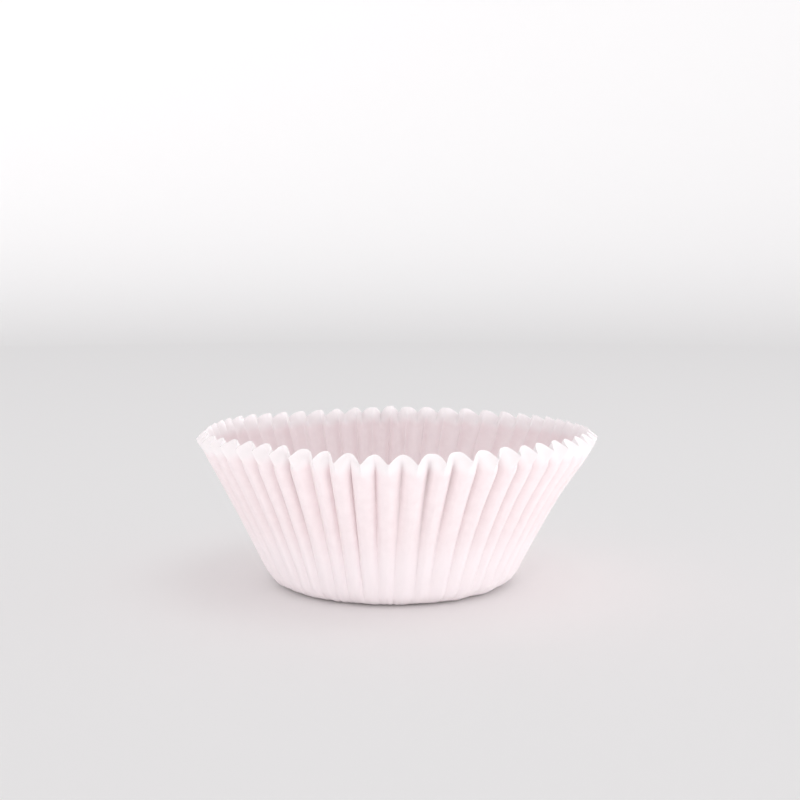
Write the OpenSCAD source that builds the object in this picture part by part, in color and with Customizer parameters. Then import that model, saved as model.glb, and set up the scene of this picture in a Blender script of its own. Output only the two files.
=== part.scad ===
// A round paper baking cup, pressed from one flat disc.
// Millimetres, +Z up. The origin is the middle of the base, on the surface the cup stands on.
// Pressing gathers the disc into a cup whose rings are shorter round than the disc's own rings,
// so the spare paper stands up as flutes. Their depth is worked out from that, ring by ring.

/* [Cup] */
// Diameter of the base, where the base's plane and the wall's line meet
base_d = 50; // [36:1:70]
// Length of the wall along its own slope, from that same corner to the rim
wall_len = 35; // [24:1:46]
// Lean of the wall from upright, just above the base, in degrees
wall_lean = 23.6; // [15:0.2:32]
// How much further the wall leans by the time it reaches the rim's band, in degrees
wall_flare = 4.4; // [0:0.2:10]
// How much further still the band leans at the rim itself, in degrees
rim_flare = 12; // [0:1:20]
// Radius of the bend between base and wall
bend_r = 6; // [2:0.5:8]

/* [Paper] */
// Thickness of the paper
paper_t = 0.06; // [0.05:0.01:0.12]

/* [Flutes] */
// Number of flutes round the wall
flutes = 54; // [40:1:60]
// Depth that rounded folds leave of a sharp fold's depth
fold_share = 0.9; // [0.8:0.01:1]
// Fullness of the ridges: 1 is a zigzag, and more makes wide ridges between tight grooves
fullness = 2.5; // [1:0.1:3]
// Length of the wall below the rim where the grooves open again and the ridges draw tight
rim_band = 4; // [1:0.5:8]
// Depth of the flutes at the rim, where the cut edge stands free, as a multiple of their own depth
rim_depth = 1.15; // [1:0.05:1.4]

/* [Hidden] */

// Points that draw one flute, and rows of facets up the bend and up the wall below the rim's band
flute_points = 8;
bend_rows = 2;
wall_rows = 2;

around = flutes * flute_points;
radian = 180 / PI;

// The middle of one ridge is at the front, on -Y
front = -90;

// The bend turns the paper from the base's plane to the wall's slope
bend_turn = 90 - wall_lean;
bend_cut = bend_r * tan(bend_turn / 2);
bend_start = base_d / 2 - bend_cut;
bend_len = bend_r * bend_turn / radian;
wall_start = bend_start + bend_len;
disc_r = wall_start + wall_len - bend_cut;
band_start = disc_r - rim_band;

// Rings of points up the wall, each by its own radius on the flat disc
ring_radii = [
    for (i = [0:bend_rows]) bend_start + bend_len * i / bend_rows,
    for (i = [1:wall_rows]) wall_start + (band_start - wall_start) * i / wall_rows,
    disc_r
];
rings = len(ring_radii);

// Chord of an arc that is len long, starts at heading and turns by turn degrees: [out, up]
function along_arc(len, heading, turn) =
    let (half = turn / 2, chord = half == 0 ? len : len * sin(half) * radian / half)
    chord * [cos(heading + half), sin(heading + half)];

// Share of the wall, from the bend to the rim's band, that a ring of the disc reaches
function wall_share(ring_r) = min(1, (ring_r - wall_start) / (band_start - wall_start));

// Share of the rim's band, from its lower end, that a ring of the disc reaches
function band_share(ring_r) = max(0, (ring_r - band_start) / rim_band);

// Climb of the paper above the horizontal at a ring of the disc, in degrees
function climb(ring_r) =
    ring_r <= bend_start ? 0
    : ring_r <= wall_start ? (ring_r - bend_start) / bend_r * radian
    : bend_turn - wall_flare * wall_share(ring_r) - rim_flare * band_share(ring_r);

// Where a ring of the disc would lie without its flutes: [out, up]
function profile(ring_r) =
    ring_r <= bend_start ? [ring_r, 0]
    : ring_r <= wall_start
        ? [bend_start, 0] + along_arc(ring_r - bend_start, 0, climb(ring_r))
    : ring_r <= band_start
        ? profile(wall_start)
            + along_arc(ring_r - wall_start, bend_turn, -wall_flare * wall_share(ring_r))
    : profile(band_start)
        + along_arc(ring_r - band_start, climb(band_start), -rim_flare * band_share(ring_r));

// Depth of the flutes at a ring. A flank is half a flute's share of the disc's ring, and it
// leans over half a pitch of the ring as it lies, so the depth is the third side of a triangle.
function flute_depth(ring_r) =
    let (
        spare = pow(ring_r, 2) - pow(profile(ring_r)[0], 2),
        freed = 1 + (rim_depth - 1) * band_share(ring_r)
    )
    fold_share * freed * PI / flutes * sqrt(max(0, spare));

// Round one flute, from 1 on the ridge at a turn of 0 to -1 in the groove at a turn of 180.
// Up to the rim's band the ridges are full and the grooves tight. At the rim it is the other way.
function wave(ring_r, turn) =
    let (
        from_ridge = abs((turn + 180) % 360 - 180) / 180,
        full_ridge = 1 - 2 * pow(from_ridge, fullness),
        open_groove = 2 * pow(1 - from_ridge, fullness) - 1
    )
    full_ridge + band_share(ring_r) * (open_groove - full_ridge);

// Middle of the paper at ring i and place k round it, counted from the front
function mid_paper(i, k) =
    let (
        ring_r = ring_radii[i],
        angle = 360 * k / around,
        lift = flute_depth(ring_r) / 2 * wave(ring_r, flutes * angle),
        slope = climb(ring_r),
        point = profile(ring_r) + lift * [sin(slope), -cos(slope)]
    )
    [point[0] * cos(front + angle), point[0] * sin(front + angle), point[1] + paper_t / 2];

// The same direction, one unit long
function unit(direction) = direction / norm(direction);

// From the paper's middle to its outside, just so long that the facets on both sides of the
// point are each moved by one unit
function outward(i, k) =
    let (
        here = mid_paper(i, k),
        up = mid_paper(min(i + 1, rings - 1), k) - mid_paper(i - 1, k),
        before = unit(cross(here - mid_paper(i, k - 1), up)),
        after = unit(cross(mid_paper(i, k + 1) - here, up))
    )
    (before + after) / (1 + before * after);

// Ring i of points on one face of the paper: side is 1 outside and -1 inside.
// Ring 0 is the edge of the flat base, so its points move straight down or up.
function face_ring(i, side) = [
    for (k = [0:around - 1])
        mid_paper(i, k) + side * paper_t / 2 * (i == 0 ? [0, 0, -1] : outward(i, k))
];

// All the points of one face of the wall, ring after ring
function face_points(side) = [for (i = [0:rings - 1]) each face_ring(i, side)];

// Number of the point at ring i and place k round it, on the face that begins at point first
function point_at(first, i, k) = first + i * around + k % around;

// Two triangles between four points, in order round them
function two_facets(a, b, c, d) = [[a, b, c], [a, c, d]];

// Facets of the face that begins at point first
function face_facets(first) = [
    for (i = [0:rings - 2], k = [0:around - 1])
        each two_facets(
            point_at(first, i, k),
            point_at(first, i + 1, k),
            point_at(first, i + 1, k + 1),
            point_at(first, i, k + 1)
        )
];

// Facets of the paper's edge at ring i, between the two faces
function edge_facets(outer, inner, i) = [
    for (k = [0:around - 1])
        each two_facets(
            point_at(outer, i, k),
            point_at(inner, i, k),
            point_at(inner, i, k + 1),
            point_at(outer, i, k + 1)
        )
];

// The same facets, facing the other way
function turned_over(facets) = [for (facet = facets) [facet[2], facet[1], facet[0]]];

// Flat of the base, with the wall's own corners round its edge
module base() {
    linear_extrude(paper_t)
        polygon([for (point = face_ring(0, 1)) [point[0], point[1]]]);
}

// Bend and fluted wall, from the base's edge up to the cut edge at the rim
module wall() {
    outside = face_points(1);
    inside = face_points(-1);
    inside_first = len(outside);
    polyhedron(
        points = concat(outside, inside),
        faces = concat(
            face_facets(0),
            turned_over(face_facets(inside_first)),
            edge_facets(0, inside_first, rings - 1),
            turned_over(edge_facets(0, inside_first, 0))
        ),
        convexity = 10
    );
}

// The whole cup is one sheet of paper
module liner() {
    color([0.96, 0.94, 0.95]) {
        base();
        wall();
    }
}

liner();
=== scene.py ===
import bpy
import numpy as np
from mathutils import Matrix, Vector


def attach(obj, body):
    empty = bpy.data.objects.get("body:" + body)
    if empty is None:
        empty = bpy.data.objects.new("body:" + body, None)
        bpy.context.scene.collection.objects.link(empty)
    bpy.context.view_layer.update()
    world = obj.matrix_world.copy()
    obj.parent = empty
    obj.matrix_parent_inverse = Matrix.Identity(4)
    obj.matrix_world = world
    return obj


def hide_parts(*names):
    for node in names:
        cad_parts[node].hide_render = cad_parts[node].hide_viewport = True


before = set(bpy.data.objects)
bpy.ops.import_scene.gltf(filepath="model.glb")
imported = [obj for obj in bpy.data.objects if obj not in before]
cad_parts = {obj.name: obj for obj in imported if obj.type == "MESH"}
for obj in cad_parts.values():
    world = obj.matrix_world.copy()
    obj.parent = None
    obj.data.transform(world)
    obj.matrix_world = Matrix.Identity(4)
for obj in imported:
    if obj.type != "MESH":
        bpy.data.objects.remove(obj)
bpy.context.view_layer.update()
mm = 0.001
degree = np.pi / 180


# Lengths are in millimetres and angles in degrees, as on a drawing of the cup.
# Angles round the cup are counted from the front, anticlockwise seen from above.
# Shares of the wall run from 0 at the bend to 1 at the rim.
cup = {
    "baseWidth": 50.0,  # where the base's plane and the wall's line meet
    "wallLength": 35.0,  # from that corner to the rim, along the slope
    "wallLean": 23.6,  # from upright, just above the bend
    "wallFlare": 4.4,  # how much further the wall leans below the rim's band
    "rimFlare": 12.0,  # how much further still the band leans at the rim itself
    "bendRadius": 6.0,
    "paper": 0.06,
    "flutes": 54,
    "foldShare": 0.86,  # depth that round folds leave of a sharp fold's depth
    "fullness": 3.2,  # 1 is a zigzag, and more makes full ridges between tight grooves
    "baseFullness": 2.1,  # the same, low down at the bend
    "rimFullness": 2.5,  # the same for the open grooves between tight ridges at the rim
    "fullnessSpread": 0.25,
    "foldRadius": 0.07,  # softens a tight fold, as a share of half a flute
    "rimBand": 4.0,  # length below the rim where grooves open and ridges draw tight
    "rimEdge": 0.6,  # length below the rim where they have done so
    "rimDeeper": 0.2,  # share by which the free edge lets the flutes stand deeper
    "firstRidge": -1.2,  # a ridge just left of the middle of the front
    "pitchDrift": 1.1,  # flutes are closer on one stretch and wider on the next
    "driftWaves": 5,
    "driftStart": 8.7,
    "pitchSpread": 0.15,  # how far one flute strays from its place
    "depthSpread": 0.06,  # share of a flute's depth
    "sway": 0.35,  # how far the folds wander sideways towards the base
    "skew": 0.16,  # flutes that lean over to one side
    "rimLean": 1.0,  # the rim sits this much to the right of the base
    "leanPower": 1.3,  # of the share of the wall, by which it comes in
    # Where the wall curls: at an angle, out by so much below the rim, and in again at the rim
    "curls": [(80.0, 0.67, 1.0), (-85.0, 0.0, 0.46)],
    "curlWidth": 48.0,
    "curlOut": (0.55, 0.95),  # shares of the wall between which it curls out
    "curlIn": (0.85, 1.05),  # and in again
    "rises": [(-42.0, 0.78), (50.0, 0.38)],  # angles at which the wall is longer, and by how much
    "riseWidth": 30.0,
    "rimUneven": 0.08,  # the disc's cut edge is not quite round
    "outOfRound": 0.22,
    "streaks": 0.012,  # press marks that run with the flutes
    "streakFade": 12.0,  # length above the bend over which they come in
    "bendCreases": 0.05,  # fine gathers where the base turns up
    "baseCorners": 0.05,  # the base's edge is not quite round
    "bendWidth": 3.2,  # length over which both die out to each side of the bend
    "crumple": 0.014,
    "crumpleFade": (20.0, 30.0),  # radii on the flat disc between which it comes in
    "baseDome": 0.22,
    "grooveShadeWidth": 0.17,  # of the painted shade line in a groove, as a share of half a flute
    "grooveShadeLevel": 0.3,
    "grooveShadePlaces": [(-17.0, -0.3, 14.0), (8.0, 0.5, 7.0)],  # angle, change of the level, width
    "columns": 16,  # points round one flute
    "drawnIn": 0.25,  # how far those points move towards the folds
    "sharpAngle": 70.0,  # edges that turn more than this stay sharp, such as the cut edge's
}

# Waves of each unevenness: a seed, and the fewest and the most that go once round the cup
waves = {
    "pitchSpread": (11, 9, 30),
    "sway": (12, 8, 40),
    "skew": (13, 5, 27),
    "fullnessSpread": (14, 5, 27),
    "depthSpread": (15, 7, 36),
    "outOfRound": (16, 2, 5),
    "bendCreases": (17, 60, 150),
    "streaks": (18, 70, 190),
    "baseCorners": (20, 9, 26),
    "rimUneven": (31, 1, 6),
}
crumpleWaves = dict(seed=19, shortest=6.0, longest=15.0, count=7)

bendTurn = (90 - cup["wallLean"]) * degree
bendCut = cup["bendRadius"] * np.tan(bendTurn / 2)
bendStart = cup["baseWidth"] / 2 - bendCut
wallStart = bendStart + cup["bendRadius"] * bendTurn
discRadius = wallStart + cup["wallLength"] - bendCut
bandStart = discRadius - cup["rimBand"]

# Rings of points, by their radii on the flat disc, in stretches: first, last and how many.
# They lie closest in the bend and in the rim's band.
ringStretches = [
    (2.5, bendStart - 3, 5),
    (bendStart - 2.2, wallStart + 2, 15),
    (wallStart + 3.4, bandStart, 19),
    (bandStart + 0.5, discRadius, 8),
]


# Sum of sine waves with whole numbers of turns round the cup, each with its own strength and start,
# so that it closes on itself. It is scaled to a spread of 1.
def waver(angle, seed, fewest, most):
    dice = np.random.default_rng(seed)
    turns = np.arange(fewest, most + 1)
    start = dice.uniform(0, 2 * np.pi, turns.size)
    strength = dice.uniform(0.4, 1.0, turns.size)
    total = strength * np.sin(np.multiply.outer(angle, turns) + start)
    return total.sum(axis=-1) / np.sqrt((strength**2).sum() / 2)


# One of the cup's unevennesses at an angle round it: its size times its own waves.
def uneven(name, angle):
    return cup[name] * waver(angle, *waves[name])


# Sum of plane waves in random directions over the flat sheet, between two wavelengths, folded at
# zero so that it makes soft creases, and scaled to run from about -1 to 1.
def creases(x, y, seed, shortest, longest, count):
    dice = np.random.default_rng(seed)
    heading = dice.uniform(0, np.pi, count)
    length = dice.uniform(shortest, longest, count)
    start = dice.uniform(0, 2 * np.pi, count)
    total = np.zeros_like(x)
    for turn, span, first in zip(heading, length, start):
        total += np.sin((x * np.cos(turn) + y * np.sin(turn)) * 2 * np.pi / span + first)
    return 1 - 2 * np.abs(total) / np.sqrt(count)


# 0 below low, 1 above high, and a smooth step between: 3 t squared minus 2 t cubed.
def smoothStep(value, low, high):
    t = np.clip((value - low) / (high - low), 0, 1)
    return t * t * (3 - 2 * t)


# Bell curve of an angle in degrees about a place round the cup: e to the minus (distance / width)
# squared.
def bell(angle, place, width):
    return np.exp(-(((angle - place + 180) % 360 - 180) / width) ** 2)


# Where a ring of the disc would lie without its flutes, and the climb of the paper there: flat out to
# the bend, then round an arc of the bend's radius, then up two arcs so wide that they turn only by
# the wall's and the rim's flare. Each wide arc is taken as its chord, at the arc's mean heading.
def profile(reach):
    bend = np.clip((reach - bendStart) / cup["bendRadius"], 0, bendTurn)
    wall = np.clip(reach - wallStart, 0, bandStart - wallStart)
    band = np.maximum(reach - bandStart, 0)
    wallTurn = cup["wallFlare"] * degree * wall / (bandStart - wallStart)
    bandTurn = cup["rimFlare"] * degree * np.minimum(band / cup["rimBand"], 1)
    wallHeading = bendTurn - wallTurn / 2
    bandHeading = bendTurn - wallTurn - bandTurn / 2
    out = np.minimum(reach, bendStart) + cup["bendRadius"] * np.sin(bend)
    out = out + wall * np.cos(wallHeading) + band * np.cos(bandHeading)
    up = cup["bendRadius"] * (1 - np.cos(bend))
    up = up + wall * np.sin(wallHeading) + band * np.sin(bandHeading)
    return out, up, bend - wallTurn - bandTurn


# Depth of the flutes: a flank is half a flute's share of the disc's ring and leans over half a pitch
# of the ring as it lies, so the depth is the third side of that triangle.
def fluteDepth(reach, out):
    spare = np.maximum(reach**2 - out**2, 0)
    return cup["foldShare"] * np.pi / cup["flutes"] * np.sqrt(spare)


# Distance from a fold, 0 to 1, rounded off close to the fold as a hyperbola.
def soften(distance):
    soft = cup["foldRadius"]
    return (np.sqrt(distance**2 + soft**2) - soft) / (np.sqrt(1 + soft**2) - soft)


# Round one flute, from 1 on the ridge to -1 in the groove, by the share of the way between them,
# raised to the power of fullness. It is taken from the ridge where the groove is tight, from the
# groove where it has opened, and as a mix of both between.
def fluteWave(fromRidge, fullness, rimFullness, opened):
    fullRidge = 1 - 2 * (1 - soften(1 - fromRidge)) ** fullness
    openGroove = 2 * (1 - soften(fromRidge)) ** rimFullness - 1
    return fullRidge + opened * (openGroove - fullRidge)


# Angle round the cup of each turn round the flutes, which are evenly spaced but for their drift, for
# how far each strays, and for folds that sway and skew. The shift in degrees is the sine of the drift
# plus the stray, and a fold moves by a share of its own flute.
def fluteAngle(turn, around, rise):
    fromStart = around + (cup["firstRidge"] - cup["driftStart"]) * degree
    drift = cup["pitchDrift"] * np.sin(cup["driftWaves"] * fromStart)
    stray = uneven("pitchSpread", around)
    sway = uneven("sway", around) * (1 - rise) ** 2
    skew = uneven("skew", around) * np.sin(turn)
    shift = (cup["firstRidge"] + drift + stray) * degree
    return around + shift - (sway + skew) / cup["flutes"]


# How far the paper is moved along its own normal beside the flutes themselves: curls and roundness up
# the wall, gathers at the bend, streaks, crumpling, and less the dome that lifts the base. Each is
# its size times its own waves, and fades in over its own stretch of the sheet.
def roughness(around, angle, reach, share, rise):
    lift = 0
    for place, outwards, inwards in cup["curls"]:
        curl = outwards * smoothStep(share, *cup["curlOut"]) - inwards * smoothStep(share, *cup["curlIn"])
        lift = lift + curl * bell(angle / degree, place, cup["curlWidth"])
    lift = lift + uneven("outOfRound", angle) * rise

    nearBend = np.exp(-(((reach - (bendStart + wallStart) / 2) / cup["bendWidth"]) ** 2))
    lift = lift + (uneven("bendCreases", angle) + uneven("baseCorners", angle)) * nearBend
    lift = lift + uneven("streaks", angle) * smoothStep(reach, wallStart, wallStart + cup["streakFade"])
    sheetX, sheetY = reach * np.sin(around), -reach * np.cos(around)
    crumple = cup["crumple"] * creases(sheetX, sheetY, **crumpleWaves)
    lift = lift + crumple * smoothStep(reach, *cup["crumpleFade"])
    return lift - cup["baseDome"] * np.clip(1 - (reach / bendStart) ** 2, 0, 1) ** 2


# Painted shade of the line in each groove: a bell curve round the fold, by the square of the flute's
#  depth, at a level that some places round the cup raise or lower. It ends where the grooves open.
def grooveShade(fromRidge, opened, deep, angle):
    shade = np.exp(-(((1 - fromRidge) / cup["grooveShadeWidth"]) ** 2)) * (1 - opened)
    level = cup["grooveShadeLevel"]
    for place, change, width in cup["grooveShadePlaces"]:
        level = level + change * bell(angle / degree, place, width)
    rimOut = profile(discRadius)[0]
    return shade * level * (deep / fluteDepth(discRadius, rimOut)) ** 2


# Middle of the paper over the grid of turns round the flutes and reaches from the disc's middle: the
#  profile turned round the axis and moved along its own normal by the flutes and the roughness. The
#  painted shade of the grooves comes with it.
def midPaper(turn, reach):
    around = turn / cup["flutes"]
    longer = uneven("rimUneven", around)
    for place, extra in cup["rises"]:
        longer = longer + extra * bell(around / degree, place, cup["riseWidth"])
    reach = reach * (1 + longer / discRadius * (reach / discRadius) ** 4)
    out, up, climb = profile(reach)
    share = (reach - wallStart) / (discRadius - wallStart)
    rise = np.clip(share, 0, 1)
    angle = fluteAngle(turn, around, rise)

    fromRidge = np.abs((turn + np.pi) % (2 * np.pi) - np.pi) / np.pi
    fuller = uneven("fullnessSpread", around)
    fullness = cup["baseFullness"] + (cup["fullness"] - cup["baseFullness"]) * rise + fuller
    opened = smoothStep(reach, bandStart, discRadius - cup["rimEdge"])
    deep = fluteDepth(reach, out) * (1 + uneven("depthSpread", around))
    deep = deep * (1 + cup["rimDeeper"] * opened)
    lift = deep / 2 * fluteWave(fromRidge, fullness, cup["rimFullness"] + fuller, opened)
    lift = lift + roughness(around, angle, reach, share, rise)

    side = out + lift * np.sin(climb)
    leanOver = cup["rimLean"] * rise ** cup["leanPower"]
    height = np.maximum(up - lift * np.cos(climb), 0) + cup["paper"] / 2
    middle = np.stack([side * np.sin(angle) + leanOver, -side * np.cos(angle), height], axis=-1)
    return middle, grooveShade(fromRidge, opened, deep, angle)


# Unit normals of a grid that is closed along its second direction: the cross product of its two
# central differences, the one round the cup and the one up the wall.
def gridNormals(points):
    roundCup = np.roll(points, -1, axis=1) - np.roll(points, 1, axis=1)
    upWall = np.gradient(points, axis=0)
    normal = np.cross(roundCup, upWall)
    return normal / np.linalg.norm(normal, axis=-1, keepdims=True)


# Four corners of each cell of a grid of rings, anticlockwise seen from outside.
def gridCells(rings, around, first):
    ring, place = np.meshgrid(np.arange(rings - 1), np.arange(around), indexing="ij")
    here = first + ring * around
    after = (place + 1) % around
    corners = [here + place, here + after, here + around + after, here + around + place]
    return np.stack(corners, axis=-1).reshape(-1, 4)


# Puts arrays into a mesh: points, then quads and triangles, a position on the flat sheet for the
#  UV map and the painted shade of the groove at each point.
def buildMesh(name, points, quads, triangles, sheet, grooveShadePaint):
    mesh = bpy.data.meshes.new(name)
    corners = np.concatenate([quads.ravel(), triangles.ravel()]).astype(np.int32)
    sizes = np.concatenate([np.full(len(quads), 4), np.full(len(triangles), 3)])
    starts = np.concatenate([[0], np.cumsum(sizes)[:-1]]).astype(np.int32)
    mesh.vertices.add(len(points))
    mesh.vertices.foreach_set("co", points.astype(np.float32).ravel())
    mesh.loops.add(corners.size)
    mesh.loops.foreach_set("vertex_index", corners)
    mesh.polygons.add(sizes.size)
    mesh.polygons.foreach_set("loop_start", starts)
    mesh.update(calc_edges=True)
    mesh.validate()
    uvMap = mesh.uv_layers.new(name="sheet")
    uvMap.data.foreach_set("uv", sheet[corners].astype(np.float32).ravel())
    grooveShadeMap = mesh.attributes.new("grooveShadePaint", "FLOAT", "POINT")
    grooveShadeMap.data.foreach_set("value", grooveShadePaint.astype(np.float32))
    mesh.shade_smooth()
    mesh.set_sharp_from_angle(angle=cup["sharpAngle"] * degree)
    return mesh


# Two faces of paper on the same grid, half the paper's thickness to each side of its middle, joined
# by a strip at the rim and closed by a fan round the middle of the base. Points round a flute lie
# closer together near the folds: the even turn less a share of the sine of twice the turn.
def makeCup():
    reaches = np.concatenate([np.linspace(*stretch) for stretch in ringStretches])
    around = cup["flutes"] * cup["columns"]
    even = np.arange(around) * 2 * np.pi / cup["columns"]
    turn, reach = np.meshgrid(even - cup["drawnIn"] * np.sin(2 * even), reaches)
    middle, grooveShadePaint = midPaper(turn, reach)
    normal = gridNormals(middle)
    half = cup["paper"] / 2
    rings = len(reaches)
    skin = rings * around
    outside = (middle + half * normal).reshape(-1, 3)
    inside = (middle - half * normal).reshape(-1, 3)
    poleHeight = cup["baseDome"] + half
    poles = np.array([[0, 0, poleHeight - half], [0, 0, poleHeight + half]])
    points = np.concatenate([outside, inside, poles])
    points[:, 2] = np.maximum(points[:, 2], 0)  # nothing reaches under the base

    place = np.arange(around)
    after = (place + 1) % around
    top = (rings - 1) * around
    edge = np.stack([top + place, top + after, skin + top + after, skin + top + place], axis=-1)
    insideCells = gridCells(rings, around, skin)[:, ::-1]
    quads = np.concatenate([gridCells(rings, around, 0), insideCells, edge])
    under = np.stack([np.full(around, 2 * skin), after, place], axis=-1)
    above = np.stack([np.full(around, 2 * skin + 1), skin + place, skin + after], axis=-1)
    triangles = np.concatenate([under, above])

    angle = turn / cup["flutes"]
    flat = np.stack([reach * np.sin(angle), -reach * np.cos(angle)], axis=-1).reshape(-1, 2)
    sheet = 0.5 + np.concatenate([flat, flat, np.zeros((2, 2))]) / (2 * discRadius)
    grooveShadeAll = np.concatenate([grooveShadePaint.ravel(), np.zeros(skin + 2)])  # only the outside gets painted groove shade
    mesh = buildMesh("paperCup", points * mm, quads, triangles, sheet, grooveShadeAll)
    piece = bpy.data.objects.new("paperCup", mesh)
    bpy.context.collection.objects.link(piece)
    print("cup:", len(points), "points,", 2 * len(quads) + len(triangles), "triangles")
    return piece


# Adds a node, with its settings by name and its inputs by name or number: a socket is joined, and a
# value is set.
def addNode(tree, kind, inputs=None, **settings):
    node = tree.nodes.new(kind)
    for name, value in settings.items():
        setattr(node, name, value)
    for name, value in (inputs or {}).items():
        if isinstance(value, bpy.types.NodeSocket):
            tree.links.new(value, node.inputs[name])
        else:
            node.inputs[name].default_value = value
    return node


# Smooth step of a value: 0 at the place where it begins and 1 where it is full.
def addFade(tree, value, begins, full):
    inputs = {"Value": value, "From Min": begins, "From Max": full}
    return addNode(tree, "ShaderNodeMapRange", inputs, interpolation_type="SMOOTHSTEP").outputs["Result"]


# A colour turned towards another one by a share. Either colour is a socket or a value.
def addTint(tree, under, over, share):
    inputs = {"A": under, "B": over, "Factor": share}
    return addNode(tree, "ShaderNodeMix", inputs, data_type="RGBA").outputs["Result"]


# Lengths are in millimetres on the flat sheet, but for those that say otherwise.
paper = {
    "thinColor": (0.905, 0.79, 0.802, 1),  # where the pulp is thin
    "denseColor": (0.935, 0.825, 0.835, 1),
    "pulpRange": (0.35, 0.65),  # of the clouds, from thin to dense
    "rimGlowColor": (0.935, 0.888, 0.893, 1),  # painted light: the free edge is painted lighter, as if light came through it
    "rimGlowFade": 2.2,  # length up the rim's band over which it comes in
    "footColor": (0.955, 0.87, 0.885, 1),  # painted light: the wall is painted lighter near the base, as if light from the floor came through it
    "footLightFade": (4.0, 15.0),  # lengths up the wall between which it goes out
    # painted shade: the dark line in each groove
    "grooveShadeColor": (0.5, 0.41, 0.415, 1),
    "cloud": {"Scale": 0.45, "Detail": 5.0, "Roughness": 0.6},  # of pulp, by their number to the mm
    "fibre": {"Scale": 5.0, "Detail": 4.0, "Roughness": 0.65, "Distortion": 0.6},
    "relief": {"Strength": 0.5, "Distance": 0.000012},  # of the fibres, in metres
    "roughRange": (0.74, 0.92),  # from thin to dense
    "shine": 0.35,
    "glow": 0.18,  # light that passes into the sheet
    "glowColor": (1.0, 0.93, 0.9),
    "glowReach": 0.0004,  # in metres
}


# Clouds of pulp between two colours, painted light up by the rim and down by the base, and painted
#  shade in the grooves. All follow the place on the flat sheet, whose middle is half the sheet's width
#  from its corner.
def makePaper():
    material = bpy.data.materials.new("whitePaper")
    material.use_nodes = True
    tree = material.node_tree
    tree.nodes.clear()
    sheet = addNode(tree, "ShaderNodeUVMap", uv_map="sheet").outputs["UV"]
    across = 2 * discRadius
    spread = {"Vector": sheet, "Scale": (across, across, 1)}
    where = addNode(tree, "ShaderNodeMapping", spread).outputs["Vector"]
    cloud = addNode(tree, "ShaderNodeTexNoise", {"Vector": where, **paper["cloud"]}).outputs["Fac"]
    fibre = addNode(tree, "ShaderNodeTexNoise", {"Vector": where, **paper["fibre"]}).outputs["Fac"]
    thin, dense = paper["pulpRange"]
    pulp = addNode(tree, "ShaderNodeMapRange", {"Value": cloud, "From Min": thin, "From Max": dense})
    tint = addTint(tree, paper["thinColor"], paper["denseColor"], pulp.outputs["Result"])

    middle = (discRadius, discRadius, 0)
    fromMiddle = addNode(tree, "ShaderNodeVectorMath", {0: where, 1: middle}, operation="DISTANCE")
    reach = fromMiddle.outputs["Value"]
    # painted light: the rim's band painted lighter, as if light came through the free edge
    free = addFade(tree, reach, bandStart, bandStart + paper["rimGlowFade"])
    tint = addTint(tree, tint, paper["rimGlowColor"], free)
    # painted light: the lower wall painted lighter, as if light from the floor came through
    low, high = paper["footLightFade"]
    foot = addFade(tree, reach, wallStart + high, wallStart + low)
    tint = addTint(tree, tint, paper["footColor"], foot)
    # painted shade: the grooves darkened by the mesh's groove shade attribute
    grooveShadePaint = addNode(tree, "ShaderNodeAttribute", attribute_name="grooveShadePaint").outputs["Fac"]
    tint = addTint(tree, tint, paper["grooveShadeColor"], grooveShadePaint)

    smooth, rough = paper["roughRange"]
    matt = addNode(tree, "ShaderNodeMapRange", {"Value": cloud, "To Min": smooth, "To Max": rough})
    relief = addNode(tree, "ShaderNodeBump", {"Height": fibre, **paper["relief"]})
    shader = addNode(tree, "ShaderNodeBsdfPrincipled", {
        "Base Color": tint,
        "Roughness": matt.outputs["Result"],
        "Normal": relief.outputs["Normal"],
        "Specular IOR Level": paper["shine"],
        "Subsurface Weight": paper["glow"],
        "Subsurface Radius": paper["glowColor"],
        "Subsurface Scale": paper["glowReach"],
    })
    output = addNode(tree, "ShaderNodeOutputMaterial")
    tree.links.new(shader.outputs["BSDF"], output.inputs["Surface"])
    return material


# Lengths are in metres, but for the lens and its sensor, which are in millimetres.
studio = {
    "floorColor": (0.88, 0.87, 0.865, 1),
    "floorRough": 0.9,
    "floorMiddle": 0.02,  # radius of the floor's innermost ring
    "floorRadius": 0.9,
    "floorDrop": 0.00002,  # keeps the floor clear of the paper that lies on it
    "backRadius": 2.2,
    "backHeight": 1.5,
    "backEase": 0.5,  # the backdrop ends so far before its slope would level out
    "backRings": 28,
    "spokes": 128,
    "airColor": (0.99, 0.985, 1.0, 1),
    "airLevel": 0.8,  # light from overhead and all round
    "bandLevel": 7.7,  # brighter band of light round the horizon, for walls that lean out
    "bandHeight": 0.05,  # the band's half height, as a sine
    "bandSide": (0.46, -0.12, 0),  # towards where it is brighter, and by what share
    "lampAim": (0, 0, 0.016),
    "lensLength": 58.45,
    "sensorWidth": 36,
    "nearest": 0.01,  # of what the camera sees
    "cameraPlace": (0.0016, -0.270, 0.065),
    "cameraPitch": 5.73,
}

lamps = {
    "topBox": dict(azimuth=60, distance=0.25, height=0.8, size=0.45, power=0.55, color=(1.0, 1.0, 1.0)),
}


# A surface of revolution about the cup's axis: rings at the radii, each at its own height, and where
# it is closed, one face within the first ring.
def makeGround(name, radii, heights, closed):
    spokes = studio["spokes"]
    angle, radius = np.meshgrid(np.arange(spokes) * 2 * np.pi / spokes, radii)
    height = np.broadcast_to(np.asarray(heights)[:, None], radius.shape)
    points = np.stack([radius * np.cos(angle), radius * np.sin(angle), height], axis=-1)
    cells = gridCells(len(radii), spokes, 0)[:, ::-1].tolist()
    if closed:
        cells.append(list(range(spokes)))
    mesh = bpy.data.meshes.new(name)
    mesh.from_pydata(points.reshape(-1, 3).tolist(), [], cells)
    mesh.shade_smooth()
    ground = bpy.data.objects.new(name, mesh)
    bpy.context.collection.objects.link(ground)
    return ground


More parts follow.
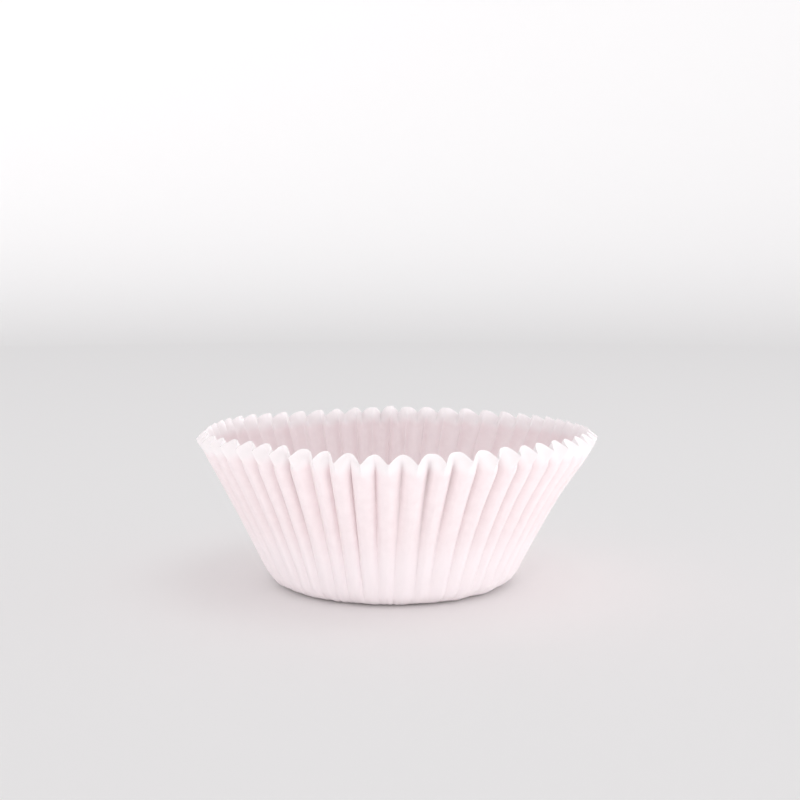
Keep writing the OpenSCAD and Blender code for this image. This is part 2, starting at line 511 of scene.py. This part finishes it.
# A flat floor, and a backdrop that rises from its edge as a smooth step. Only the camera sees the
# backdrop, so it takes no light away from the low band.
def makeFloor():
    paint = bpy.data.materials.new("floorPaint")
    paint.use_nodes = True
    shader = paint.node_tree.nodes["Principled BSDF"]
    shader.inputs["Base Color"].default_value = studio["floorColor"]
    shader.inputs["Roughness"].default_value = studio["floorRough"]
    shader.inputs["Specular IOR Level"].default_value = 0.0
    edge, back, drop = studio["floorRadius"], studio["backRadius"], studio["floorDrop"]
    floor = makeGround("floor", [studio["floorMiddle"], edge], [-drop, -drop], True)
    radii = np.linspace(edge, back, studio["backRings"])
    heights = studio["backHeight"] * smoothStep(radii, edge, back + studio["backEase"]) - drop
    backdrop = makeGround("backdrop", radii, heights, False)
    for ground in (floor, backdrop):
        ground.data.materials.append(paint)
    backdrop.visible_diffuse = False
    backdrop.visible_glossy = False
    backdrop.visible_transmission = False
    backdrop.visible_shadow = False


# A soft square lamp at an azimuth from the front, a distance and a height, turned to the cup.
def addLamp(name, azimuth, distance, height, size, power, color):
    light = bpy.data.lights.new(name, "AREA")
    light.shape = "SQUARE"
    light.size = size
    light.energy = power
    light.color = color
    lamp = bpy.data.objects.new(name, light)
    turn = azimuth * degree
    lamp.location = (distance * np.sin(turn), -distance * np.cos(turn), height)
    lamp.rotation_mode = "QUATERNION"
    lamp.rotation_quaternion = (Vector(studio["lampAim"]) - lamp.location).to_track_quat("-Z", "Y")
    lamp.visible_camera = False
    bpy.context.collection.objects.link(lamp)


# One step of arithmetic on numbers.
def addMath(tree, operation, *values):
    return addNode(tree, "ShaderNodeMath", dict(enumerate(values)), operation=operation).outputs["Value"]


# Strength of the air's light in a direction: an even level plus a band, which is e to the minus
# (height / half height) squared, times its level, times 1 plus the share of its brighter side.
def makeAir():
    world = bpy.data.worlds.new("studioAir")
    bpy.context.scene.world = world
    world.use_nodes = True
    tree = world.node_tree
    where = addNode(tree, "ShaderNodeTexCoord").outputs["Generated"]
    height = addNode(tree, "ShaderNodeSeparateXYZ", {"Vector": where}).outputs["Z"]
    squared = addMath(tree, "MULTIPLY", height, height)
    band = addMath(tree, "EXPONENT", addMath(tree, "MULTIPLY", squared, -1 / studio["bandHeight"] ** 2))
    towards = {0: where, 1: studio["bandSide"]}
    side = addNode(tree, "ShaderNodeVectorMath", towards, operation="DOT_PRODUCT").outputs["Value"]
    level = addMath(tree, "MULTIPLY_ADD", side, studio["bandLevel"], studio["bandLevel"])
    strength = addMath(tree, "MULTIPLY_ADD", band, level, studio["airLevel"])
    air = tree.nodes["Background"]
    air.inputs["Color"].default_value = studio["airColor"]
    tree.links.new(strength, air.inputs["Strength"])


def makeStudio():
    makeFloor()
    makeAir()
    for name, lamp in lamps.items():
        addLamp(name, **lamp)
    print("studio: done")


# The camera stands in front of the cup and looks down by its pitch.
def makeCamera():
    lens = bpy.data.cameras.new("photoCamera")
    lens.lens = studio["lensLength"]
    lens.sensor_width = studio["sensorWidth"]
    lens.clip_start = studio["nearest"]
    camera = bpy.data.objects.new("photoCamera", lens)
    camera.location = studio["cameraPlace"]
    camera.rotation_euler = ((90 - studio["cameraPitch"]) * degree, 0, 0)
    bpy.context.collection.objects.link(camera)
    bpy.context.scene.camera = camera
    print("camera: done")


bpy.context.scene.view_settings.view_transform = "Standard"
liner = makeCup()
liner.data.materials.append(makePaper())
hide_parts("liner")
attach(liner, "root")
print("paper: done")
makeStudio()
makeCamera()
